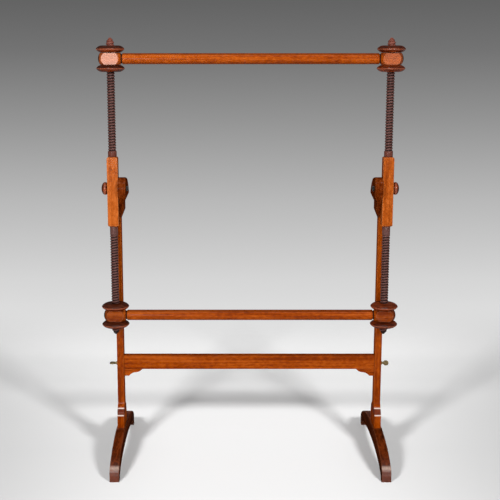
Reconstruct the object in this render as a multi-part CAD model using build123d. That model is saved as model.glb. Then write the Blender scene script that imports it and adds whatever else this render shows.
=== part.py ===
from build123d import *
from math import cos, radians, sin
import os

# A floor-standing needlework frame: two round bars slide on four wooden screws, a pair to each
# side, and the whole frame tilts between the posts of a stand. Sizes are in millimetres. +Z is up,
# the worker sits at -Y, and the origin is on the floor midway between the two feet.

# Feet: each is an arched board between two ellipses
foot_thickness = 22.0
foot_length = 392.0
toe_overrun = 14.0          # from a toe to the end of the ellipse that the top follows
foot_crown = 72.5           # height of that ellipse
foot_top = 71.0             # flat seat for the post
toe_pad = 17.0              # length of the flat under a toe
arch_height = 37.0
toe_round = 9.0
edge_round = 1.2

# Posts, with a moulded base
post_inner_x = 308.8        # from the middle of the stand to the inner face of a post
post_thickness = 16.0
post_depth = 27.0
plinth_depth = 68.0
plinth_height = 31.2
ledge = 2.8                 # rise and run of the sloped ledges between the mouldings
ovolo_depth = 7.0
ovolo_height = 12.4
ovolo_bulge = 2.4
cove_height = 17.0
cove_hollow = 2.4
tenon_thickness = 9.0
tenon_width = 40.0
tenon_length = 24.0

# Tilt axis, and the room that the screw frame needs in front of the posts
pivot_height = 669.7
nut_to_post = 3.5
post_below_pivot = 14.0
running_gap = 0.3
joint_gap = 0.1

# Head brackets, which carry the tilt bolts beside the centre blocks
head_thickness = 18.0
head_waist = 9.0
head_boss_radius = 26.0
head_cheek_drop = 18.0      # from the pivot down to the end of the thick cheek
head_waist_top = 37.0       # from the pivot down to the waist
head_waist_bottom = 56.0
head_drop = 78.0            # from the pivot down to the tip of the bracket
head_corner_round = 7.0
head_step_round = 5.0
boss_end_angle = 50.0

# Centre blocks
block_width = 25.0
block_depth = 25.0
block_above_pivot = 74.0
block_below_pivot = 89.0
block_chamfer = 2.5

# Wooden screws: a plain neck at the block, a thread and a tapered tip
screw_diameter = 19.0
upper_neck_diameter = 20.5
upper_neck_length = 14.0
lower_neck_diameter = 18.4
lower_neck_length = 22.0
upper_screw_length = 272.3
lower_screw_length = 263.4
tip_length = 10.0
tip_diameter = 8.0
dowel_diameter = 12.0
dowel_length = 28.0
dowel_room = 0.5

# Bars, each turned with a flattened ball at both ends
upper_bar_rise = 299.0      # from the pivot up to the upper bar
lower_bar_drop = 305.4
bar_diameter = 25.0
bar_end_round = 2.0
ball_length = 56.0          # of the whole ellipse, which the groove cuts short
ball_reach = 25.0           # from the screw to the groove
ball_diameter = 48.0
ball_height = 27.0
ball_depth = 34.0
groove_width = 2.6
groove_diameter = 20.5
bar_bore_room = 0.5

# Disc nuts
nut_diameter = 66.0
nut_thickness = 16.0
nut_face_diameter = 40.0
nut_flank_bulge = 1.8
nut_rim_round = 2.6
nut_bore_room = 0.35

# Tilt bolts, their knobs and their iron nuts
bolt_diameter = 8.0
bolt_bore_room = 0.3
bolt_proud = 2.0
bolt_end_chamfer = 1.2
bolt_in_knob = 7.0
iron_nut_width = 12.0
iron_nut_thickness = 3.5
knob_diameter = 30.0
knob_neck_diameter = 22.0
knob_length = 14.0
knob_shoulder = 6.0
knob_shoulder_bulge = 1.3
quarter_turn = 90.0

# Stretcher and the shaped brackets under its ends
stretcher_bottom = 215.4
stretcher_height = 35.2
stretcher_thickness = 18.0
stretcher_edge = 1.5
stub_length = 8.0
stub_width = 24.0
stub_thickness = 10.0
corner_thickness = 14.0
corner_reach = 45.0
corner_drop = 17.5
corner_step_reach = 27.0
corner_step_drop = 8.6
corner_lobe_bulge = 2.4
corner_hollow = 1.6
corner_toe = 12.0

# Brass thumbscrews that pull the stretcher up to the posts
thumb_rise = 13.5           # above the bottom of the stretcher
thumb_shank_diameter = 6.0
thumb_shank_room = 0.3
thumb_collar_diameter = 9.0
thumb_collar_length = 3.0
thumb_neck_length = 3.5
thumb_wing_length = 13.0
thumb_wing_width = 12.5
thumb_wing_thickness = 3.2
thumb_wing_round = 5.7
thumb_in_stretcher = 34.0
thumb_end_room = 0.5
thumb_nut_width = 12.0
thumb_nut_thickness = 5.0
thumb_nut_depth = 22.0      # from the end of the stretcher to the nut
thumb_nut_room = 0.5

# Places that follow from the sizes above
foot_sweep = foot_length + 2 * toe_overrun
arch_span = foot_length - 2 * toe_pad
post_x = post_inner_x + post_thickness / 2
post_outer_x = post_inner_x + post_thickness
pivot_y = -(post_depth / 2 + nut_to_post + nut_diameter / 2)
post_top = pivot_height - post_below_pivot
screw_x = post_inner_x + running_gap + block_width / 2
block_top = pivot_height + block_above_pivot
block_bottom = pivot_height - block_below_pivot
block_outer_x = screw_x + block_width / 2
head_inner_x = post_inner_x - head_thickness
nut_offset = ball_height / 2 + running_gap + nut_thickness / 2
stretcher_middle = stretcher_bottom + stretcher_height / 2
bolt_tip_x = head_inner_x - iron_nut_thickness - bolt_proud
knob_x = block_outer_x + running_gap
upper_bar_height = pivot_height + upper_bar_rise
lower_bar_height = pivot_height - lower_bar_drop
thumb_height = stretcher_bottom + thumb_rise
stretcher_end_x = post_inner_x
thumb_nut_x = stretcher_end_x - thumb_nut_depth


def board(outline, x, thickness):
    """A flat board, cut to an outline in the YZ plane and centred on x."""
    return Pos(x, 0, 0) * extrude(Plane.YZ * outline, amount=thickness / 2, both=True)


def rod_along_x(diameter, x_start, x_end, y, z):
    """A round rod between two places on X."""
    middle = Pos((x_start + x_end) / 2, y, z)
    return middle * Rot(0, 90, 0) * Cylinder(diameter / 2, abs(x_end - x_start))


def both_halves(half):
    """A right-hand half and its mirror image, as one."""
    return half + mirror(half, about=Plane.YZ)


def foot():
    """The arched foot, with a mortise for the post."""
    sweep = Ellipse(foot_sweep / 2, foot_crown)
    window = Pos(0, foot_top / 2) * Rectangle(foot_length, foot_top)
    outline = (sweep & window) - Ellipse(arch_span / 2, arch_height)
    toe_y = foot_length / 2 - edge_round
    toes = [v for v in outline.vertices() if abs(v.X) > toe_y and v.Y > toe_round]
    outline = fillet(toes, toe_round)
    body = board(outline, post_x, foot_thickness)
    long_edges = body.edges().filter_by(Axis.X, reverse=True)
    top_edges = [e for e in long_edges if e.center().Z > arch_height + toe_round]
    body = fillet(top_edges, edge_round)
    mortise = Box(tenon_thickness + joint_gap, tenon_width + joint_gap, tenon_length + joint_gap)
    return body - Pos(post_x, 0, foot_top - (tenon_length + joint_gap) / 2) * mortise


def post():
    """The upright with its moulded base, bored for the thumbscrew and mortised for the stretcher."""
    plinth_edge = plinth_depth / 2
    plinth_top = foot_top + plinth_height
    ovolo_foot = (plinth_edge - ledge, plinth_top + ledge)
    ovolo_head = (ovolo_foot[0] - ovolo_depth, ovolo_foot[1] + ovolo_height)
    cove_foot = (ovolo_head[0] - ledge, ovolo_head[1] + ledge)
    cove_end = (post_depth / 2, cove_foot[1] + cove_height)
    plinth_foot = (plinth_edge, foot_top)
    half = make_face(
        Polyline((0, post_top), (0, foot_top), plinth_foot, (plinth_edge, plinth_top), ovolo_foot)
        + SagittaArc(ovolo_foot, ovolo_head, -ovolo_bulge)
        + Line(ovolo_head, cove_foot)
        + SagittaArc(cove_foot, cove_end, cove_hollow)
        + Polyline(cove_end, (post_depth / 2, post_top), (0, post_top))
    )
    body = board(both_halves(half), post_x, post_thickness)
    body += Pos(post_x, 0, foot_top - tenon_length / 2) * Box(tenon_thickness, tenon_width, tenon_length)
    shank_hole = thumb_shank_diameter + 2 * thumb_shank_room
    body -= rod_along_x(shank_hole, post_inner_x, post_outer_x, 0, thumb_height)
    stub_hole = Box(stub_length + joint_gap, stub_thickness + joint_gap, stub_width + joint_gap)
    stub_x = post_inner_x + (stub_length + joint_gap) / 2
    return body - Pos(stub_x, 0, stretcher_middle) * stub_hole


def head_bracket():
    """The shaped cheek glued inside the post's top, which reaches forward to the tilt bolt."""
    turn = radians(boss_end_angle)
    boss_top = (pivot_y, pivot_height + head_boss_radius)
    boss_front = (pivot_y - head_boss_radius, pivot_height)
    boss_end = (pivot_y - head_boss_radius * cos(turn), pivot_height - head_boss_radius * sin(turn))
    tip_z = pivot_height - head_drop
    side_outline = make_face(
        ThreePointArc(boss_top, boss_front, boss_end)
        + TangentArc(boss_end, (-post_depth / 2, tip_z), tangent=(sin(turn), -cos(turn)))
        + Polyline((-post_depth / 2, tip_z), (post_depth / 2, tip_z), (post_depth / 2, post_top))
        + TangentArc(boss_top, (post_depth / 2, post_top), tangent=(1, 0))
    )
    waist_x = post_inner_x - head_waist
    front_outline = make_face(
        Polyline(
            (post_inner_x, pivot_height + head_boss_radius),
            (head_inner_x, pivot_height + head_boss_radius),
            (head_inner_x, pivot_height - head_cheek_drop),
            (waist_x, pivot_height - head_waist_top),
            (waist_x, pivot_height - head_waist_bottom),
            (post_inner_x, tip_z),
            close=True,
        )
    )
    crown = [v for v in front_outline.vertices() if v.X < waist_x and v.Y > pivot_height]
    front_outline = fillet(crown, head_corner_round)
    off_post = post_inner_x - head_waist / 2
    steps = [v for v in front_outline.vertices() if v.X < off_post and v.Y < pivot_height]
    front_outline = fillet(steps, head_step_round)
    depth = 2 * (head_boss_radius - pivot_y)
    side = board(side_outline, post_inner_x - head_thickness / 2, head_thickness)
    front = extrude(Plane.XZ * front_outline, amount=depth, both=True)
    bore = bolt_diameter + 2 * bolt_bore_room
    return (side & front) - rod_along_x(bore, post_outer_x, bolt_tip_x, pivot_y, pivot_height)


def centre_block():
    """The square block that joins an upper and a lower screw and turns on the tilt bolt."""
    length = block_above_pivot + block_below_pivot
    block = Pos(screw_x, pivot_y, (block_top + block_bottom) / 2) * Box(block_width, block_depth, length)
    ends = block.faces().sort_by(Axis.Z)
    block = chamfer(ends[0].edges() + ends[-1].edges(), block_chamfer)
    socket = Cylinder((dowel_diameter + joint_gap) / 2, dowel_length + dowel_room)
    block -= Pos(screw_x, pivot_y, block_top - (dowel_length + dowel_room) / 2) * socket
    block -= Pos(screw_x, pivot_y, block_bottom + (dowel_length + dowel_room) / 2) * socket
    bore = bolt_diameter + 2 * bolt_bore_room
    return block - rod_along_x(bore, post_inner_x, knob_x, pivot_y, pivot_height)


def screw(neck_diameter, neck_length, length):
    """A screw standing on z = 0, with its dowel below. The round thread zone has the crests' size."""
    profile = make_face(
        Polyline(
            (0, -dowel_length),
            (dowel_diameter / 2, -dowel_length),
            (dowel_diameter / 2, 0),
            (neck_diameter / 2, 0),
            (neck_diameter / 2, neck_length),
            (screw_diameter / 2, neck_length),
            (screw_diameter / 2, length - tip_length),
            (tip_diameter / 2, length),
            (0, length),
            close=True,
        )
    )
    return revolve(Plane.XZ * profile, axis=Axis.Z)


def bar():
    """A bar on the X axis: round between its balls, which are flat on four sides for the screws."""
    ball_inner = screw_x - ball_reach
    shoulder = ball_inner - groove_width
    core = Pos(shoulder / 2, bar_diameter / 4) * Rectangle(shoulder, bar_diameter / 2)
    core = fillet(core.vertices().sort_by(Axis.X).sort_by(Axis.Y)[-1], bar_end_round)
    groove = Rectangle(2 * groove_width, groove_diameter / 2)
    groove = Pos(shoulder + groove_width / 2, groove_diameter / 4) * groove
    ball_room = Pos(ball_inner + ball_length / 2, ball_diameter / 2) * Rectangle(ball_length, ball_diameter)
    ball = Pos(screw_x, 0) * Ellipse(ball_length / 2, ball_diameter / 2) & ball_room
    turned = both_halves(revolve(core + groove + ball, axis=Axis.X))
    flats = Box(2 * (screw_x + ball_length), ball_depth, ball_height)
    bore = Cylinder(screw_diameter / 2 + bar_bore_room, ball_diameter)
    return (turned & flats) - Pos(screw_x, 0, 0) * bore - Pos(-screw_x, 0, 0) * bore


def disc_nut():
    """A turned disc nut centred on the Z axis, thin at its rim."""
    bore = screw_diameter / 2 + nut_bore_room
    face = nut_face_diameter / 2
    rim = nut_diameter / 2
    high = nut_thickness / 2
    profile = make_face(
        Polyline((face, -high), (bore, -high), (bore, high), (face, high))
        + SagittaArc((face, high), (rim, 0), nut_flank_bulge)
        + SagittaArc((rim, 0), (face, -high), nut_flank_bulge)
    )
    profile = fillet(profile.vertices().sort_by(Axis.X)[-1], nut_rim_round)
    return revolve(Plane.XZ * profile, axis=Axis.Z)


def tilt_knob():
    """The turned knob outside the centre block, bored for its bolt."""
    neck = (0, knob_neck_diameter / 2)
    shoulder = (knob_shoulder, knob_diameter / 2)
    crown = EllipticalCenterArc(
        (knob_shoulder, 0),
        knob_length - knob_shoulder,
        knob_diameter / 2,
        start_angle=0,
        arc_size=quarter_turn,
    )
    profile = make_face(
        Polyline((knob_length, 0), (0, 0), neck)
        + SagittaArc(neck, shoulder, knob_shoulder_bulge)
        + crown
    )
    knob = Pos(knob_x, pivot_y, pivot_height) * revolve(profile, axis=Axis.X)
    return knob - rod_along_x(bolt_diameter, post_inner_x, knob_x + bolt_in_knob, pivot_y, pivot_height)


def tilt_bolt():
    """The iron bolt from the knob, through block and bracket, to its nut."""
    bolt = rod_along_x(bolt_diameter, bolt_tip_x, knob_x + bolt_in_knob, pivot_y, pivot_height)
    return chamfer(bolt.edges().sort_by(Axis.X)[0], bolt_end_chamfer)


def iron_nut():
    """The six-sided nut on the inside of the head bracket."""
    flats = RegularPolygon(iron_nut_width / 2, 6, major_radius=False)
    flats -= Circle(bolt_diameter / 2 + bolt_bore_room)
    nut = extrude(Plane.YZ * flats, amount=-iron_nut_thickness)
    return Pos(head_inner_x, pivot_y, pivot_height) * nut


def stretcher():
    """The rail between the posts, with stub tenons and a pocket at each end for a nut."""
    length = 2 * stretcher_end_x
    rail = Box(length, stretcher_thickness, stretcher_height)
    rail = chamfer(rail.edges().filter_by(Axis.X), stretcher_edge)
    rail += Box(length + 2 * stub_length, stub_thickness, stub_width)
    rail = Pos(0, 0, stretcher_middle) * rail
    pocket_width = thumb_nut_thickness + 2 * thumb_nut_room
    pocket_height = thumb_nut_width + 2 * thumb_nut_room
    pocket_depth = stretcher_thickness / 2 + pocket_height / 2
    pocket = Box(pocket_width, pocket_depth, pocket_height)
    hole = thumb_shank_diameter + 2 * thumb_shank_room
    for side in (-1, 1):
        pocket_y = stretcher_thickness / 2 - pocket_depth / 2
        rail -= Pos(side * thumb_nut_x, pocket_y, thumb_height) * pocket
        hole_end = side * (stretcher_end_x - thumb_in_stretcher - thumb_end_room)
        rail -= rod_along_x(hole, hole_end, side * post_outer_x, 0, thumb_height)
    return rail


def corner_bracket():
    """The shaped bracket under one end of the stretcher."""
    top = stretcher_bottom
    outer = (post_inner_x - corner_reach, top)
    step = (post_inner_x - corner_step_reach, top - corner_step_drop)
    toe = (post_inner_x - corner_toe, top - corner_drop)
    outline = make_face(
        Line((post_inner_x, top), outer)
        + SagittaArc(outer, step, -corner_lobe_bulge)
        + SagittaArc(step, toe, corner_hollow)
        + Polyline(toe, (post_inner_x, top - corner_drop), (post_inner_x, top))
    )
    return extrude(Plane.XZ * outline, amount=corner_thickness / 2, both=True)


def thumbscrew(wing_turn):
    """A thumbscrew with its flat wing turned to an angle about its shank."""
    collar_x = post_outer_x + joint_gap
    wing_x = collar_x + thumb_collar_length + thumb_neck_length + thumb_wing_length / 2
    wing = RectangleRounded(thumb_wing_length, thumb_wing_width, thumb_wing_round)
    wing = extrude(wing, amount=thumb_wing_thickness / 2, both=True)
    shank = rod_along_x(thumb_shank_diameter, stretcher_end_x - thumb_in_stretcher, wing_x, 0, 0)
    collar = rod_along_x(thumb_collar_diameter, collar_x, collar_x + thumb_collar_length, 0, 0)
    whole = shank + collar + Pos(wing_x, 0, 0) * wing
    return Pos(0, 0, thumb_height) * Rot(wing_turn, 0, 0) * whole


def thumb_nut():
    """The square nut let into the back of the stretcher."""
    nut = Box(thumb_nut_thickness, thumb_nut_width, thumb_nut_width)
    hole = thumb_shank_diameter + 2 * thumb_shank_room
    nut -= rod_along_x(hole, -thumb_nut_depth, thumb_nut_depth, 0, 0)
    return Pos(thumb_nut_x, 0, thumb_height) * nut


def on_side(piece, direction):
    """A right-hand piece as it is, or its mirror image for the left."""
    return piece if direction > 0 else mirror(piece, about=Plane.YZ)


pieces = {"stretcher": stretcher()}
sides = {"left": -1, "right": 1}
wing_turns = {"left": 0, "right": quarter_turn}

for side, direction in sides.items():
    pieces[f"{side}_foot"] = on_side(foot(), direction)
    pieces[f"{side}_post"] = on_side(post(), direction)
    pieces[f"{side}_head_bracket"] = on_side(head_bracket(), direction)
    pieces[f"{side}_corner_bracket"] = on_side(corner_bracket(), direction)
    pieces[f"{side}_thumbscrew"] = on_side(thumbscrew(wing_turns[side]), direction)
    pieces[f"{side}_thumb_nut"] = on_side(thumb_nut(), direction)
    pieces[f"{side}_centre_block"] = on_side(centre_block(), direction)
    upper = screw(upper_neck_diameter, upper_neck_length, upper_screw_length)
    lower = Rot(180, 0, 0) * screw(lower_neck_diameter, lower_neck_length, lower_screw_length)
    pieces[f"{side}_upper_screw"] = Pos(direction * screw_x, pivot_y, block_top) * upper
    pieces[f"{side}_lower_screw"] = Pos(direction * screw_x, pivot_y, block_bottom) * lower
    pieces[f"{side}_tilt_knob"] = on_side(tilt_knob(), direction)
    pieces[f"{side}_tilt_bolt"] = on_side(tilt_bolt(), direction)
    pieces[f"{side}_tilt_nut"] = on_side(iron_nut(), direction)

for level, height in {"upper": upper_bar_height, "lower": lower_bar_height}.items():
    pieces[f"{level}_bar"] = Pos(0, pivot_y, height) * bar()
    for side, direction in sides.items():
        for seat, way in {"top": 1, "bottom": -1}.items():
            middle = Pos(direction * screw_x, pivot_y, height + way * nut_offset)
            pieces[f"{level}_{side}_{seat}_nut"] = middle * disc_nut()

os.makedirs("parts", exist_ok=True)
for name, piece in pieces.items():
    export_step(piece, f"parts/{name}.step")
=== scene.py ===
# %% [markdown]
# # A needlework frame on a floor stand
#
# Two turned bars hold the canvas. Each bar ends in a flattened ball, and every ball is pinched between
# two disc nuts on a wooden screw, so turning the nuts stretches the work. The four screws stand in two
# square blocks, and the blocks tilt between the posts of a mahogany stand.
#
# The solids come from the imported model. This lesson photographs them: it sets up the camera, the paper
# sweep and the lamps, cuts the screw threads that the solids leave out, and polishes every surface.

# %% Load the solids
import math

import bmesh
import bpy
from mathutils import Matrix, Vector, noise


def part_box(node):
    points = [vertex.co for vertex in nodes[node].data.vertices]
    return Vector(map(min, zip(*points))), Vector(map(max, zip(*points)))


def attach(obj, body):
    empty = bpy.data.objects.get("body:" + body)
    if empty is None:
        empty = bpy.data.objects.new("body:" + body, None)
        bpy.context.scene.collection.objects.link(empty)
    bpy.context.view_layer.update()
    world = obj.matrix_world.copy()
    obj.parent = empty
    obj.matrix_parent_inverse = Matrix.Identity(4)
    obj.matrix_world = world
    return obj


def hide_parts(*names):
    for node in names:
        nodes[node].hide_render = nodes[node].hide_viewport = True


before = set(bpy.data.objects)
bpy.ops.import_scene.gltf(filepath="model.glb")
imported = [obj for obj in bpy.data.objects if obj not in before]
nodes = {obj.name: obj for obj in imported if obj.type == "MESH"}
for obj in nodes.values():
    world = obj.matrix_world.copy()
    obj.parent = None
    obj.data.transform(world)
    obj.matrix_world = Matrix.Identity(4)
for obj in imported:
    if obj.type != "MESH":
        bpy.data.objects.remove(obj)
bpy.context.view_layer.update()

# %% [markdown]
# ## Camera
#
# A camera can be aimed with a constraint or placed by numbers. Numbers are used here, because the
# vanishing lines of the feet and the bars give the height, the distance and the lens directly. Both
# front toes stand level in the picture although the lens was 5 cm left of the middle, so the camera looks
# straight ahead and the picture is shifted sideways.

# %% Camera
lens_place = Vector((-0.051, -2.440, 0.983))
look_down = math.radians(10.9)
sensor_mm = 36
lens_mm = 73.9
sideways_shift = 0.043

camera = bpy.data.objects.new("camera", bpy.data.cameras.new("camera"))
bpy.context.collection.objects.link(camera)
camera.data.sensor_width = sensor_mm
camera.data.lens = lens_mm
camera.data.shift_x = sideways_shift
camera.location = lens_place
camera.rotation_euler = (math.pi / 2 - look_down, 0, 0)
bpy.context.scene.camera = camera
bpy.context.scene.view_settings.view_transform = "Standard"
print("camera at", [round(v, 3) for v in camera.location])

# %% [markdown]
# ## Shader sums
#
# A finish is a graph of nodes, and a long graph is hard to read as code. This small class wraps one
# output of a node, so that `1 - mask` or `figure * 0.6 + streak` adds the Math nodes by itself. Every
# other kind of node comes from `node`, which takes its type, its settings and its inputs.

# %% Wire: one output of a shader node
class Wire:
    """One output of a shader node, which can be used in sums."""

    def __init__(self, shader, output):
        self.tree = shader.id_data
        self.socket = shader.outputs[output]

    def node(self, kind, settings, inputs, output=0):
        """A new node in the same graph: settings first, then values or links."""
        shader = self.tree.nodes.new(kind)
        for name, value in settings.items():
            if name == "stops":
                set_stops(shader.color_ramp, value)
            else:
                setattr(shader, name, value)
        feed(shader, inputs)
        return Wire(shader, output)

    def sum(self, operation, first, second):
        return self.node("ShaderNodeMath", {"operation": operation}, {0: first, 1: second})

    def __add__(self, other):
        return self.sum("ADD", self, other)

    def __sub__(self, other):
        return self.sum("SUBTRACT", self, other)

    def __rsub__(self, other):
        return self.sum("SUBTRACT", other, self)

    def __mul__(self, other):
        return self.sum("MULTIPLY", self, other)

    def __pow__(self, other):
        return self.sum("POWER", self, other)

    __radd__ = __add__
    __rmul__ = __mul__


def feed(shader, inputs):
    """Set or link a node's inputs, by name or by number."""
    for name, value in inputs.items():
        if isinstance(value, Wire):
            shader.id_data.links.new(value.socket, shader.inputs[name])
        else:
            shader.inputs[name].default_value = value


def set_stops(ramp, stops):
    """Give a colour ramp its stops, as (position, colour) pairs."""
    while len(ramp.elements) < len(stops):
        ramp.elements.new(1)
    for element, (position, colour) in zip(ramp.elements, stops):
        element.position = position
        element.color = (*colour, 1)


print("shader sums ready")

# %% [markdown]
# ## Places, masks and rays
#
# Most masks below come from places on a piece or from the way its surface faces, so a few helpers read
# one coordinate, drop a sign, make a soft step and blend two colours by it. The paper and the room also
# need to know which kind of ray is asking, since the lens may see them paler than they light the wood.

# %% Places, masks and rays
def blank_finish(name):
    """A new material, its main shader, and a Wire that carries places on the piece."""
    material = bpy.data.materials.new(name)
    material.use_nodes = True
    graph = material.node_tree.nodes
    place = Wire(graph.new("ShaderNodeTexCoord"), "Object")
    return material, graph["Principled BSDF"], place


def part_of(place, letter):
    """One coordinate of a place or a direction."""
    return place.node("ShaderNodeSeparateXYZ", {}, {"Vector": place}, letter)


def size_of(value):
    """A value without its sign."""
    return value.sum("ABSOLUTE", value, 0)


def step(value, low, high):
    """A soft step from 0 below low to 1 above high."""
    limits = {"Value": value, "From Min": low, "From Max": high}
    return value.node("ShaderNodeMapRange", {"interpolation_type": "SMOOTHSTEP"}, limits)


def blend(mask, first, second):
    """The first colour where the mask is 0, the second where it is 1."""
    return mask.node("ShaderNodeMix", {"data_type": "RGBA"}, {0: mask, 6: first, 7: second}, 2)


def grey(level):
    """A colour without hue."""
    return (level, level, level, 1)


def seen_by_eye(place):
    """1 for rays from the lens, straight, mirrored or through glass, and 0 for light that bounces."""
    kinds = ("Is Camera Ray", "Is Glossy Ray", "Is Transmission Ray")
    straight, mirrored, through = (place.node("ShaderNodeLightPath", {}, {}, kind) for kind in kinds)
    return place.sum("MAXIMUM", straight, place.sum("MAXIMUM", mirrored, through))


print("helpers for places, masks and rays ready")

# %% [markdown]
# ## Paper sweep
#
# The frame was photographed on a sheet of paper that runs back over the floor and curves up behind,
# pale below and falling away to grey. A plane with a world colour could stand in for it, but a real
# sheet takes the soft shadows of the feet and bars, so it is modelled: a strip with a quarter turn.

# %% Paper sweep
sheet_half_width = 14.0
sheet_front = -14.0
curve_start = 1.5
curve_radius = 1.3
sheet_top = 4.0
curve_steps = 24

profile = [(sheet_front, 0.0), (curve_start, 0.0)]
for i in range(1, curve_steps + 1):
    angle = math.pi / 2 * i / curve_steps
    rise = curve_radius * (1 - math.cos(angle))
    profile.append((curve_start + curve_radius * math.sin(angle), rise))
profile.append((curve_start + curve_radius, sheet_top))

mesh = bpy.data.meshes.new("paper_sweep")
points = [(x, y, z) for y, z in profile for x in (-sheet_half_width, sheet_half_width)]
strips = [(2 * i, 2 * i + 1, 2 * i + 3, 2 * i + 2) for i in range(len(profile) - 1)]
mesh.from_pydata(points, [], strips)
mesh.shade_smooth()
sweep = bpy.data.objects.new("paper_sweep", mesh)
bpy.context.collection.objects.link(sweep)

print("paper sweep of", len(strips), "strips")

# %% [markdown]
# ## Paper finish
#
# Near the feet the paper is a pale surface that shows their shadows. Its colour is painted darker in front
# and out to the sides, to shape the pool of light that the lamps leave. Further back the fall of light to
# grey
# is painted: lamps alone give an uneven fall, so there the camera and the reflections see a glowing set of
# greys, by distance up the sheet, evenly from side to side, with a painted glow added behind the stand, and
# the two finishes fade into each other. Out to the sides and behind the camera the sheet fades into the grey
# of the room, so it has no edge there.

# %% Paper finish
room_grey = 0.38
black = grey(0)
bounce_paper = grey(0.4)
front_paper = grey(0.53)
deep_paper = grey(0.94)
painted_back_glow = grey(0.20)

# Painted fall of light: glowing greys up the sheet, each by its share of the way between two distances in
# metres
greys_reach = {"From Min": 0.7, "From Max": 4.1}
painted_fall_levels = [(0.0, 0.84), (0.17, 0.745), (0.34, 0.665), (0.57, 0.479)]
painted_fall_levels += [(0.76, 0.296), (0.90, 0.171), (1.0, 0.115)]

# Where each fade starts and ends, in metres
far_fade = (0.75, 1.55)
glow_fade = (0.2, 1.0)
depth_fade = (-0.5, 0.65)
room_fade = (1.9, 3.5)
aside_fade = (0.15, 0.75)

# Painted shade: the paper's colour darkens beside a bright strip that widens with depth
aside_widening = 0.3
aside_painted_shade = 0.27

paper, shader, place = blank_finish("paper")
across = part_of(place, "X")
depth = part_of(place, "Y")
distance = depth + part_of(place, "Z")
seen = seen_by_eye(place)
far = step(distance, *far_fade) * seen
beside = step(size_of(across), *room_fade) * seen
outskirts = step((across * across + depth * depth) ** 0.5, *room_fade) * seen

# The glowing greys paint the fall of light up the sheet.
stops = [(position, grey(level)[:3]) for position, level in painted_fall_levels]
fall = distance.node("ShaderNodeMapRange", {}, {"Value": distance, **greys_reach})
painted_fall = fall.node("ShaderNodeValToRGB", {"stops": stops}, {0: fall})
painted_fall = blend(beside, painted_fall, grey(room_grey))
# A painted glow behind the stand, seen only by the lens and in reflections.
painted_glow = blend(step(depth, *glow_fade) * seen, black, painted_back_glow)
painted_glow = blend(outskirts, painted_glow, grey(room_grey))

aside = size_of(across) - depth.sum("MAXIMUM", depth, 0) * aside_widening
# Painted light: the paper's colour is darker in front and beside the middle strip.
painted_floor_light = blend(step(depth, *depth_fade), front_paper, deep_paper)
painted_floor_light = blend(step(aside, *aside_fade) * aside_painted_shade, painted_floor_light, black)
sheet = blend(outskirts, blend(seen, bounce_paper, painted_floor_light), black)
feed(shader, {"Base Color": blend(far, sheet, black), "Roughness": 0.9, "Specular IOR Level": 0.0})
feed(shader, {"Emission Color": blend(far, painted_glow, painted_fall), "Emission Strength": 1.0})
mesh.materials.append(paper)
print("paper fades through", len(painted_fall_levels), "greys")

# %% [markdown]
# ## Lamps
#
# The shadows of the posts and bars fan out behind the stand to both sides, and they are deep although
# the wood isn't brightly lit. One pair of lamps can't do both, so one pair lights the frame and a nearer
# pair lights the paper alone. A softbox left of the lens is mirrored in the flat of the upper left ball,
# and a dim card on the right in the flat of the other. A strip overhead draws lines of light on the toes,
# a wide ceiling lamp softens it all, and two cards behind keep the back of the frame readable. The lamps
# made for the wood leave the paper out, so that they don't wash its shadows away.

# %% Lamps
def softbox(name, place, target, size, power):
    """A rectangular area lamp aimed at a point."""
    lamp = bpy.data.lights.new(name, "AREA")
    lamp.shape = "RECTANGLE"
    lamp.size, lamp.size_y = size
    lamp.energy = power
    holder = bpy.data.objects.new(name, lamp)
    bpy.context.collection.objects.link(holder)
    holder.location = place
    holder.rotation_euler = (Vector(target) - Vector(place)).to_track_quat("-Z", "Y").to_euler()
    holder.visible_camera = False
    return holder


def share_paper(holder, state):
    """Let a lamp light the paper alone (INCLUDE) or everything but the paper (EXCLUDE)."""
    lit = bpy.data.collections.new(holder.name)
    lit.objects.link(sweep)
    lit.collection_objects[0].light_linking.link_state = state
    holder.light_linking.receiver_collection = lit


room_light = 0.13
bars_middle = (0, 0, 0.75)
tall_card = (0.5, 1.0)

for side in (-1, 1):
    key = softbox("key", (1.18 * side, -2.5, 1.85), (0, 0, 0.6), size=(0.32, 0.32), power=25)
    share_paper(key, "EXCLUDE")
    floor_key = softbox("floor_key", (0.93 * side, -1.91, 1.34), (0, 0.3, 0), size=(0.36, 0.36), power=66)
    share_paper(floor_key, "INCLUDE")
small_softbox = softbox("small_softbox", (-0.69, -2.95, 0.98), bars_middle, size=tall_card, power=30)
share_paper(small_softbox, "EXCLUDE")
right_card = softbox("right_card", (0.78, -2.95, 0.98), bars_middle, size=tall_card, power=5)
share_paper(right_card, "EXCLUDE")
top_strip = softbox("top_strip", (0.05, -0.94, 2.6), (0, -0.25, 0), size=(1.7, 0.25), power=14)
share_paper(top_strip, "EXCLUDE")
softbox("ceiling", (0, 0.2, 3.6), (0, 0.2, 0), size=(3.5, 3.5), power=6)
for side in (-1, 1):
    back = softbox("back_card", (1.9 * side, 2.1, 0.95), (0, 0, 0.8), size=(1.3, 1.1), power=20)
    back.visible_glossy = False
    share_paper(back, "EXCLUDE")

world = bpy.data.worlds.new("room")
world.use_nodes = True
room = world.node_tree.nodes["Background"]
room_colour = blend(seen_by_eye(Wire(room, 0)), grey(room_light), grey(room_grey))
feed(room, {"Color": room_colour, "Strength": 1.0})
bpy.context.scene.world = world
print("ten lamps and a dim room")

# %% [markdown]
# ## Grain and wear
#
# Mahogany is orange-brown with broad ribbons of light and dark, fine streaks, flecks, and short open pores
# that run with the grain. An image could carry all that, but noise stretched along one axis follows
# each piece at the right scale, from any side. A Bevel node rounds the corners in the shading alone, and
# where it bends the surface the old polish is worn thinner and paler.

# %% Grain and wear
corner_samples = 6
corner_turn = (0.01, 0.12)


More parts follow.
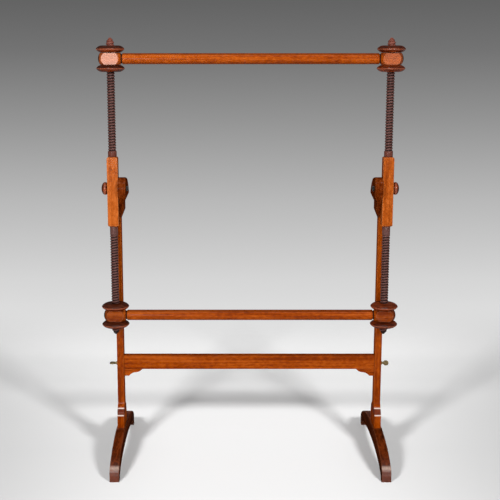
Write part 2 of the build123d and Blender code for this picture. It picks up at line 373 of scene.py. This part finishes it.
def stretched(place, piece, grain, along, across):
    """Places with so many waves a metre along the grain and across it, shifted from piece to piece."""
    crowd = [across] * 3
    crowd["XYZ".index(grain)] = along
    shift = place.node("ShaderNodeCombineXYZ", {}, {"X": piece * 31, "Y": piece * 17, "Z": piece * 53})
    settings = {"operation": "MULTIPLY_ADD"}
    return place.node("ShaderNodeVectorMath", settings, {0: place, 1: crowd, 2: shift})


def enlarged(place, waves):
    """Places with so many waves a metre in every direction."""
    return place.node("ShaderNodeVectorMath", {"operation": "SCALE"}, {0: place, "Scale": waves})


def cloud(where, detail, twist=0.0):
    """Soft noise at the scale of the places that it is given."""
    inputs = {"Vector": where, "Scale": 1.0, "Detail": detail, "Distortion": twist}
    return where.node("ShaderNodeTexNoise", {}, inputs, "Fac")


def one_number(place):
    """A number that differs from piece to piece."""
    return place.node("ShaderNodeObjectInfo", {}, {}, "Random")


def corner_wear(place, radius):
    """A rounded normal near the corners, and a mask of how far it turns there."""
    rounded = place.node("ShaderNodeBevel", {"samples": corner_samples}, {"Radius": radius}, "Normal")
    flat = place.node("ShaderNodeNewGeometry", {}, {}, "Normal")
    facing = place.node("ShaderNodeVectorMath", {"operation": "DOT_PRODUCT"}, {0: rounded, 1: flat}, "Value")
    return rounded, step(1 - facing, *corner_turn)


def on_piece(direction):
    """A direction of the room, as the piece sees it, so that it tilts with the piece."""
    settings = {"vector_type": "NORMAL", "convert_from": "WORLD", "convert_to": "OBJECT"}
    return direction.node("ShaderNodeVectorTransform", settings, {"Vector": direction})


print("grain and wear ready")

# %% [markdown]
# ## Polished mahogany
#
# One recipe serves all the wood, so that its grain has one scale on the whole frame. Four noises are mixed
# and coloured by a ramp, with dark pores and worn corners laid over them, and the flanks that face sideways
# are painted darker, as shade. The polish is a clear coat: thick on the rounded noses that hands and cloths
# reach, and nearly gone from the flanks that face sideways. A piece with marks of its own brings a function
# that adds them.

# %% Polished mahogany
# Waves a metre, along the grain and across it
ribbon_waves = (1.6, 34)
streak_waves = (5, 330)
pore_waves = (110, 2600)
fleck_waves = (90, 180)
grime_waves = (14, 14)

# Part of the normal along an axis, where a mask starts and where it is full
flank_facing = (0.7, 0.9)
nose_rise = (0.2, 0.45)
nose_facing = (0.3, 0.6)

pore_edge = (0.62, 0.72)
pore_share = 0.55
soot_and_shade_level = 0.4
wear_share = 1.4
relief_height = 0.0004
usual_relief = 0.12


def polished_wood(name, grain, deep, middle, pale, worn, gloss, haze, crown, painted_side_shade, rounding, **more):
    """Wood with its grain along one axis, under an old clear polish that lasts best on its noses."""
    material, shader, place = blank_finish(name)
    piece = one_number(place)
    ribbon = cloud(stretched(place, piece, grain, *ribbon_waves), 3, 0.6)
    streak = cloud(stretched(place, piece, grain, *streak_waves), 4)
    pore = step(cloud(stretched(place, piece, grain, *pore_waves), 1), *pore_edge)
    fleck = cloud(stretched(place, piece, grain, *fleck_waves), 2, 0.4)
    grime = cloud(stretched(place, piece, grain, *grime_waves), 3)

    mixture = ribbon * 0.4 + streak * 0.28 + fleck * 0.22 + grime * 0.1
    stops = [(0.42, deep), (0.5, middle), (0.58, pale)]
    colour = mixture.node("ShaderNodeValToRGB", {"stops": stops}, {0: mixture})
    # A dark tone for the pores, and for the painted shade on the flanks.
    soot_and_shade = tuple(c * soot_and_shade_level for c in deep) + (1,)
    colour = blend(pore * pore_share, colour, soot_and_shade)
    rounded, wear = corner_wear(place, rounding)
    colour = blend(wear * grime * wear_share, colour, (*worn, 1))
    if "soften" in more:
        rounded = more["soften"](place, rounded)

    normal = on_piece(rounded)
    side_facing = step(size_of(part_of(normal, "X")), *flank_facing)
    nose = step(part_of(normal, "Z"), *nose_rise) * step(size_of(part_of(normal, "Y")), *nose_facing)
    # Painted shade: flanks that face sideways are darkened in colour.
    colour = blend(side_facing * painted_side_shade, colour, soot_and_shade)
    coat = (gloss + nose * crown) * (1 - side_facing * 0.9) * (1.1 - grime * 0.3)
    if "details" in more:
        colour, coat = more["details"](place, normal, colour, coat)

    relief = pore * -0.6 + streak * 0.25
    feel = {"Strength": more.get("relief", usual_relief), "Distance": relief_height}
    bump = place.node("ShaderNodeBump", {}, {**feel, "Height": relief, "Normal": rounded})
    feed(shader, {"Base Color": colour, "Roughness": 0.45 + grime * 0.2, "Normal": bump, "Coat Weight": coat})
    feed(shader, {"Specular IOR Level": 0.0, "Coat Roughness": haze, "Coat IOR": 1.5})
    return material


print("recipe for polished mahogany ready")

# %% [markdown]
# ## Stretcher and centre blocks
#
# A finish is a list of colours and amounts for the recipe. The stretcher and its corner brackets are amber
# with the grain running across, and the square blocks are more golden, with pale worn corners.

# %% Stretcher and centre blocks
def dress(material, *names):
    """Give a finish to solids, by name."""
    for name in names:
        nodes[name].data.materials.clear()
        nodes[name].data.materials.append(material)
    print(material.name, "on", len(names), "solids")


def both(name):
    """The left and right solid of that name."""
    return [f"left_{name}", f"right_{name}"]


amber = {
    "deep": (0.18, 0.022, 0.0),
    "middle": (0.32, 0.051, 0.001),
    "pale": (0.45, 0.088, 0.006),
    "worn": (0.50, 0.14, 0.03),
    "gloss": 0.10,
    "haze": 0.14,
    "crown": 0.0,
    "painted_side_shade": 0.35,
    "rounding": 0.0016,
}
golden = {
    "deep": (0.22, 0.036, 0.002),
    "middle": (0.38, 0.075, 0.006),
    "pale": (0.52, 0.125, 0.020),
    "worn": (0.66, 0.28, 0.11),
    "gloss": 0.15,
    "haze": 0.14,
    "crown": 0.2,
    "painted_side_shade": 0.55,
    "rounding": 0.0022,
}
dress(polished_wood("mahogany_crosswise", "X", **amber), "stretcher", *both("corner_bracket"))
dress(polished_wood("golden_mahogany", "Z", **golden), *both("centre_block"))

# %% [markdown]
# ## Posts
#
# Two narrow ledges cross the plinth of each post. Their glints are painted: the finish of the posts turns
# pale at the two heights wherever the surface slopes upwards, as two painted highlight lines, with a dark
# band of painted shade between them. They could be separate strips, but they are the same wood.

# %% Posts
ledge_heights = (0.1036, 0.1188)
ledge_half = 0.0009
ledge_slope = (0.3, 0.55)
painted_ledge_highlight = (0.80, 0.68, 0.60, 1)
painted_ledge_shade = (0.10, 0.024, 0.016, 1)


def painted_ledge_lights(place, normal, colour, coat):
    """Two painted highlight lines on the ledges of a plinth, and painted shade between them."""
    height = part_of(place, "Z")
    slope = step(part_of(normal, "Z"), *ledge_slope)
    lower, upper = ledge_heights
    shade_band = step(height, lower, lower + ledge_half) * (1 - step(height, upper - ledge_half, upper))
    # Painted shade between the ledges.
    colour = blend(shade_band * 0.7, colour, painted_ledge_shade)
    # Painted highlights along the two ledges.
    for ledge in ledge_heights:
        line = (1 - step(size_of(height - ledge), ledge_half, ledge_half * 1.6)) * slope
        colour = blend(line * 0.85, colour, painted_ledge_highlight)
    return colour, coat


dress(polished_wood("mahogany_upright", "Z", **amber, details=painted_ledge_lights), *both("post"))

# %% [markdown]
# ## Bars
#
# The grooves beside the balls are painted nearly black, as shade, and the top and the underside of the
# bars and the curved ends of the balls are painted darker, as shade. The balls of the upper bar are tinted
# brighter, as a painted sheen, and those of the lower bar darker, and the flat of the upper left ball carries
# a pale painted reflection. The balls have more polish, most of all on the upper bar. The distance from the
# bar's axis finds the grooves, the distance from the middle of the bar finds the balls, and the way the
# surface faces finds their flats.

# %% Bars
ball_start = 0.300
ball_fade = 0.003
groove_radius = 0.0110
groove_fade = 0.0010
edge_facing = (0.5, 0.95)
flat_facing = (0.9, 0.98)
painted_groove_shade = (0.012, 0.004, 0.003, 1)
painted_flat_reflection = (0.70, 0.36, 0.25, 1)
painted_bar_shade = (0.09, 0.016, 0.001, 1)
painted_ball_sheen = (0.58, 0.15, 0.045, 1)
dark_ball = (0.12, 0.022, 0.004, 1)


def bar_details(name, ball_polish, ball_tint, left_reflection):
    """Painted shade, sheen and reflection, and polish, along one bar, measured from its own axis."""
    low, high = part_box(name)
    axis_y = (low[1] + high[1]) / 2
    axis_z = (low[2] + high[2]) / 2

    def details(place, normal, colour, coat):
        off_y = part_of(place, "Y") - axis_y
        off_z = part_of(place, "Z") - axis_z
        radius = (off_y * off_y + off_z * off_z) ** 0.5
        groove = 1 - step(radius, groove_radius, groove_radius + groove_fade)
        along = part_of(place, "X")
        ball = step(size_of(along), ball_start, ball_start + ball_fade)
        left = 1 - step(along, -ball_start - 2 * ball_fade, -ball_start - ball_fade)
        edge = step(size_of(part_of(normal, "Z")), *edge_facing)
        flat = step(size_of(part_of(normal, "Y")), *flat_facing)
        # Painted shade on the top and underside of the bar.
        colour = blend(edge * 0.55, colour, painted_bar_shade)
        # A brighter tint as painted sheen on the upper balls, a darker tint on the lower.
        colour = blend(ball * 0.4, colour, ball_tint)
        # A pale painted reflection on the flat of the upper left ball.
        colour = blend(left * flat * left_reflection, colour, painted_flat_reflection)
        # Painted shade on the curved ends of the balls.
        colour = blend(ball * (1 - flat) * 0.4, colour, painted_bar_shade)
        # Painted shade, nearly black, in the grooves.
        colour = blend(groove * 0.9, colour, painted_groove_shade)
        return colour, (coat + ball * ball_polish) * (1 - groove)

    return details


bar = {**amber, "worn": (0.72, 0.34, 0.18), "gloss": 0.15, "painted_side_shade": 0.0, "rounding": 0.0024}
bar.update({"haze": 0.22, "relief": 0.02})
upper_details = bar_details("upper_bar", ball_polish=0.15, ball_tint=painted_ball_sheen, left_reflection=0.4)
lower_details = bar_details("lower_bar", ball_polish=0.06, ball_tint=dark_ball, left_reflection=0.0)
dress(polished_wood("mahogany_upper_bar", "X", **bar, details=upper_details), "upper_bar")
dress(polished_wood("mahogany_lower_bar", "X", **bar, details=lower_details), "lower_bar")

# %% [markdown]
# ## Feet
#
# The feet have darkened to red-brown. Shoes have rounded their toes and scuffed them pale along the edge,
# and that pale band is also a painted highlight. Dust clings to the front of the toes, and polish is left on
# the seat of each post. The solid has a small round already. A wider one is given to the normals alone,
# within a thumb's breadth of the toe's edge, so the light rolls over it.

# %% Feet
toe_edge_y = 0.192
toe_edge_z = 0.024
toe_reach = 0.018
toe_front = (0.175, 0.188)
scuff_and_highlight_y = 0.187
scuff_and_highlight_z = 0.029
scuff_and_highlight_fade = (0.001, 0.010)
scratch_waves = 260
scuffed_toe_highlight = (0.62, 0.44, 0.36, 1)
dusty_toe = (0.165, 0.058, 0.042, 1)
level_seat = (0.9955, 0.9985)
front_facing = (0.5, 0.9)
side_of_foot = (0.5, 0.8)


def from_toe_edge(place, edge_y, edge_z):
    """How far a place is from a line along the edge of either toe."""
    off_y = size_of(part_of(place, "Y")) - edge_y
    off_z = part_of(place, "Z") - edge_z
    return (off_y * off_y + off_z * off_z) ** 0.5


def off_flanks(normal):
    """1 on the top and the front of a foot, 0 on its sides."""
    return 1 - step(size_of(part_of(normal, "X")), *side_of_foot)


def rounded_toes(place, normal):
    """Turn the normals beside the edge of a toe towards that edge."""
    along = part_of(place, "Y")
    turn = (1 - step(from_toe_edge(place, toe_edge_y, toe_edge_z), 0.0, toe_reach)) * off_flanks(normal)
    outwards = along.sum("SIGN", along, 0)
    edge = along.node("ShaderNodeCombineXYZ", {}, {"X": 0.0, "Y": outwards * 0.7, "Z": 0.7})
    mixed = turn.node("ShaderNodeMix", {"data_type": "VECTOR"}, {0: turn, 4: normal, 5: edge}, 1)
    return mixed.node("ShaderNodeVectorMath", {"operation": "NORMALIZE"}, {0: mixed})


def worn_foot(place, normal, colour, coat):
    """Dust on the front of the toes, pale scuffs with a painted highlight on their edges, and polish left on
    the seat.
    """
    scratches = cloud(enlarged(place, scratch_waves), 3)
    forwards = step(size_of(part_of(normal, "Y")), *front_facing)
    front = step(size_of(part_of(place, "Y")), *toe_front) * forwards
    colour = blend(front * (0.3 + scratches * 0.6), colour, dusty_toe)
    # Pale scuffs along the toe's edge, which also paint its highlight.
    rubbed = 1 - step(from_toe_edge(place, scuff_and_highlight_y, scuff_and_highlight_z), *scuff_and_highlight_fade)
    scuff_and_highlight = rubbed * off_flanks(normal) * (0.25 + scratches * 0.9)
    seat = step(part_of(normal, "Z"), *level_seat)
    return blend(scuff_and_highlight, colour, scuffed_toe_highlight), coat + seat * 0.6


chestnut = {
    "deep": (0.028, 0.004, 0.0),
    "middle": (0.085, 0.013, 0.001),
    "pale": (0.17, 0.030, 0.005),
    "worn": (0.26, 0.08, 0.03),
    "gloss": 0.12,
    "haze": 0.30,
    "crown": 0.8,
    "painted_side_shade": 0.45,
    "rounding": 0.005,
}
foot_finish = polished_wood("dark_mahogany_foot", "Y", **chestnut, soften=rounded_toes, details=worn_foot)
dress(foot_finish, *both("foot"))

# %% [markdown]
# ## Head brackets
#
# The brackets behind the blocks have darkened too, and have lost nearly all their polish. The same recipe
# serves with deeper colours.

# %% Head brackets
umber = {
    "deep": (0.050, 0.006, 0.0),
    "middle": (0.118, 0.017, 0.001),
    "pale": (0.19, 0.036, 0.005),
    "worn": (0.30, 0.08, 0.02),
    "gloss": 0.02,
    "haze": 0.14,
    "crown": 0.05,
    "painted_side_shade": 0.3,
    "rounding": 0.002,
}
dress(polished_wood("dark_mahogany_bracket", "Z", **umber), *both("head_bracket"))

# %% [markdown]
# ## Discs and knobs
#
# These are turned from redder wood. The upper slopes of the discs are painted dark, as shade, less on the
# right, and so are the faces of the knobs, and the rims carry a painted highlight in pale blotches. Which way
# the surface faces, as the piece sees it, tells slope from rim, so the marks go along when the frame tilts.

# %% Discs and knobs
ruby = {
    "deep": (0.042, 0.005, 0.001),
    "middle": (0.125, 0.017, 0.002),
    "pale": (0.23, 0.038, 0.007),
    "worn": (0.36, 0.10, 0.04),
    "gloss": 0.26,
    "haze": 0.22,
    "crown": 0.0,
    "painted_side_shade": 0.0,
    "rounding": 0.002,
    "relief": 0.02,
}
painted_rim_highlight = (0.36, 0.10, 0.045, 1)
painted_slope_shade = (0.020, 0.006, 0.003, 1)
blotch_waves = 90
left_slope_shade = 0.75
lighter_right = 0.4
middle_fade = (-0.1, 0.1)
shade_rise = (0.15, 0.6)
rim_lean = 0.15
rim_facing = (0.2, 0.6)
knob_face = (0.5, 0.9)


def rim_highlight(place, rim, colour, coat):
    """A painted highlight in pale blotches, and more polish, on a rim."""
    blotch = cloud(enlarged(place, blotch_waves), 3)
    # Painted highlight: pale blotches on the rim.
    return blend(rim * (blotch * 1.3 - 0.1), colour, painted_rim_highlight), coat + rim * 0.3


def painted_disc_lights(place, normal, colour, coat):
    """Painted shade on the upper slope of a disc, less of it on the right, and a painted highlight on the
    rim.
    """
    upwards = part_of(normal, "Z")
    slope_shade = left_slope_shade - step(part_of(place, "X"), *middle_fade) * lighter_right
    # Painted shade on the upper slope, lighter on the right.
    colour = blend(step(upwards, *shade_rise) * slope_shade, colour, painted_slope_shade)
    return rim_highlight(place, 1 - step(size_of(upwards + rim_lean), *rim_facing), colour, coat)


def painted_knob_lights(place, normal, colour, coat):
    """Painted shade on the face of a knob, and a painted highlight on its rim."""
    sideways = size_of(part_of(normal, "X"))
    # Painted shade on the face of the knob.
    colour = blend(step(sideways, *knob_face) * 0.6, colour, painted_slope_shade)
    return rim_highlight(place, (1 - step(sideways, *rim_facing)) * 0.7, colour, coat)


discs = [name for name in nodes if name.split("_")[0] in ("upper", "lower") and name.endswith("_nut")]
dress(polished_wood("turned_mahogany", "X", **ruby, details=painted_disc_lights), *discs)
dress(polished_wood("turned_knob", "X", **ruby, details=painted_knob_lights), *both("tilt_knob"))

# %% [markdown]
# ## Turning and winding
#
# Each screw was cut in a screw box: a V groove of four turns to the inch, right-handed, with crests that
# use has softened and chipped. A Screw modifier could wind it, but it can't thin out at the tip, so the
# ridge is built point by point along its helix. The core under it is turned from an outline.

# %% Turning and winding
pitch = 0.00635
crest_radius = 0.0094
root_radius = 0.0077
crest_half = 0.20 * pitch
root_half = 0.46 * pitch
crest_round = 0.0002
ridge_sink = 0.0004
turn_steps = 40
tip_length = 0.011
tip_loss = 0.72
chip_start = 0.45
chip_depth = 1.2 * (crest_radius - root_radius)
chips_around = 2
chips_along = 160


def lathe(mesh, outline, steps):
    """Turn an outline of (radius, height) pairs about Z into a mesh."""
    rings = []
    for radius, height in outline:
        spokes = [2 * math.pi * i / steps for i in range(steps)]
        rings.append([mesh.verts.new((radius * math.cos(a), radius * math.sin(a), height)) for a in spokes])
    for lower, upper in zip(rings, rings[1:]):
        for i in range(steps):
            mesh.faces.new((lower[i], lower[(i + 1) % steps], upper[(i + 1) % steps], upper[i]))
    mesh.faces.new(rings[0][::-1])
    mesh.faces.new(rings[-1])


def taper(below_tip):
    """How full the screw is at a depth below its tip: 1 on the shank, rounded off at the end."""
    reach = max(0, 1 - below_tip / tip_length)
    return 1 - tip_loss * reach**1.5


def chip(angle, height):
    """How much of the crest is broken off at a place, 0 for most places."""
    around = (math.cos(angle) * chips_around, math.sin(angle) * chips_around)
    return max(0, noise.noise((*around, height * chips_along)) - chip_start)


def wind_ridge(mesh, start, end, tip):
    """Lay a thread along its helix from one height to another, thinning towards the tip."""
    sections = []
    count = int((end - start) / pitch * turn_steps)
    for i in range(count + 1):
        angle = 2 * math.pi * i / turn_steps
        middle = start + pitch * i / turn_steps
        crest = crest_radius - chip_depth * chip(angle, middle)
        section = []
        for offset, radius in (
            (-root_half, root_radius - ridge_sink),
            (-crest_half, crest - crest_round),
            (0, crest),
            (crest_half, crest - crest_round),
            (root_half, root_radius - ridge_sink),
        ):
            reach = radius * taper(tip - middle - offset)
            point = (reach * math.cos(angle), reach * math.sin(angle), middle + offset)
            section.append(mesh.verts.new(point))
        sections.append(section)
    for near, far in zip(sections, sections[1:]):
        for k in range(len(near) - 1):
            mesh.faces.new((near[k], far[k], far[k + 1], near[k + 1]))
    mesh.faces.new(sections[0])
    mesh.faces.new(sections[-1][::-1])


print("threads with a pitch of", round(pitch * 1000, 2), "mm")

# %% [markdown]
# ## Wooden screws
#
# A screw is a core with a plain neck where it leaves its block, and the ridge laid on it. It stands on its
# dowel, which is out of sight in the block, so the visible piece starts above that. The lower screws are
# made the same way and turned over.

# %% Wooden screws
dowel = 0.028
shoulder = 0.0008
tip_shares = (1, 0.8, 0.6, 0.4, 0.2, 0.1, 0)
sharp_edge = math.radians(50)


def wooden_screw(name, neck_radius, neck_length, points_up):
    """A threaded screw in the place of its plain solid."""
    low, high = (Vector(corner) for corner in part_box(name))
    length = high.z - low.z - dowel
    outline = [
        (neck_radius - shoulder, 0),
        (neck_radius, shoulder),
        (neck_radius, neck_length - shoulder),
        (neck_radius - shoulder, neck_length),
        (root_radius, neck_length),
    ]
    for share in tip_shares:
        below_tip = tip_length * share
        outline.append((root_radius * taper(below_tip), length - below_tip))
    mesh = bmesh.new()
    lathe(mesh, outline, turn_steps)
    wind_ridge(mesh, neck_length - pitch, length - pitch / 2, length)
    if not points_up:
        bmesh.ops.rotate(mesh, verts=mesh.verts, matrix=Matrix.Rotation(math.pi, 3, "X"))
    base = low.z + dowel if points_up else high.z - dowel
    bmesh.ops.translate(mesh, verts=mesh.verts, vec=((low.x + high.x) / 2, (low.y + high.y) / 2, base))
    data = bpy.data.meshes.new(f"threaded_{name}")
    mesh.to_mesh(data)
    mesh.free()
    data.shade_smooth()
    data.set_sharp_from_angle(angle=sharp_edge)
    piece = bpy.data.objects.new(f"threaded_{name}", data)
    bpy.context.collection.objects.link(piece)
    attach(piece, "screw_frame")
    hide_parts(name)
    return piece


screws = []
for side in ("left", "right"):
    upper_screw = wooden_screw(f"{side}_upper_screw", neck_radius=0.01025, neck_length=0.014, points_up=True)
    lower_screw = wooden_screw(f"{side}_lower_screw", neck_radius=0.0092, neck_length=0.022, points_up=False)
    screws += [upper_screw, lower_screw]
print("threads of", [len(screw.data.polygons) for screw in screws], "faces")

# %% [markdown]
# ## Screw finish
#
# The grooves are coloured nearly black, and the crests are rubbed to a dusty purple-brown. The distance
# from the screw's own axis tells crest from groove, so the mask follows the thread wherever it goes. The
# upper tips, which are handled most, have gone red.

# %% Screw finish
groove_dark = (0.018, 0.007, 0.006, 1)
crest_dark = (0.095, 0.038, 0.032, 1)
crest_pale = (0.20, 0.092, 0.078, 1)
neck_brown = (0.125, 0.038, 0.026, 1)
tip_red = (0.30, 0.085, 0.055, 1)
neck_fade = (0.0098, 0.0101)
tip_heights = (0.985, 1.0)
dust_waves = (40, 160)
fibre_waves = (30, 900)

screw_wood, shader, place = blank_finish("screw_wood")
low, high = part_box("right_upper_screw")
axis_x = (low[0] + high[0]) / 2
axis_y = (low[1] + high[1]) / 2
off_x = size_of(part_of(place, "X")) - axis_x
off_y = part_of(place, "Y") - axis_y
radius = (off_x * off_x + off_y * off_y) ** 0.5
crest = step(radius, root_radius, crest_radius)
piece = one_number(place)
dust = cloud(stretched(place, piece, "Z", *dust_waves), 4)
fibre = cloud(stretched(place, piece, "Z", *fibre_waves), 3)
rubbed = blend(fibre, crest_dark, crest_pale)
# Nearly black in the grooves, and rubbed on the crests.
colour = blend(crest * (0.5 + dust * 0.6), groove_dark, rubbed)
colour = blend(step(radius, *neck_fade), colour, neck_brown)
handled = step(part_of(place, "Z"), *tip_heights)
colour = blend(handled * (0.3 + fibre * 0.5), colour, tip_red)
bump = place.node("ShaderNodeBump", {}, {"Strength": 0.2, "Distance": 0.0003, "Height": fibre})
feed(shader, {"Base Color": colour, "Roughness": 0.62 - crest * 0.2 + dust * 0.1, "Normal": bump})
feed(shader, {"Specular IOR Level": 0.0, "Coat Weight": 0.2, "Coat Roughness": 0.25})
for screw in screws:
    screw.data.materials.append(screw_wood)
print("screw finish on", len(screws), "screws")

# %% [markdown]
# ## Brass and iron
#
# The thumbscrews are cast brass gone brown, bright only on their corners, and the tilt bolts and their
# nuts are plain dark iron. Both are metals, so the tarnish changes the roughness with the colour.

# %% Brass and iron
metal_rounding = 0.0006
stain_edge = (0.35, 0.65)


def old_metal(name, tarnish, bare, spots):
    """A metal under tarnish, with so many spots a metre, that is rubbed through at the corners."""
    material, shader, place = blank_finish(name)
    stain = step(cloud(stretched(place, one_number(place), "X", spots, spots), 5), *stain_edge)
    rounded, wear = corner_wear(place, metal_rounding)
    shine = stain * 0.5 + wear * 0.5
    feel = {"Strength": 0.15, "Distance": 0.0002, "Height": stain, "Normal": rounded}
    bump = place.node("ShaderNodeBump", {}, feel)
    feed(shader, {"Base Color": blend(shine, (*tarnish, 1), (*bare, 1)), "Roughness": 0.55 - shine * 0.25})
    feed(shader, {"Metallic": 0.9, "Normal": bump})
    return material


brass = old_metal("aged_brass", tarnish=(0.12, 0.085, 0.04), bare=(0.42, 0.32, 0.15), spots=320)
iron = old_metal("dark_iron", tarnish=(0.020, 0.019, 0.018), bare=(0.09, 0.085, 0.08), spots=400)
dress(brass, *both("thumbscrew"), *both("thumb_nut"))
dress(iron, *both("tilt_bolt"), *both("tilt_nut"))
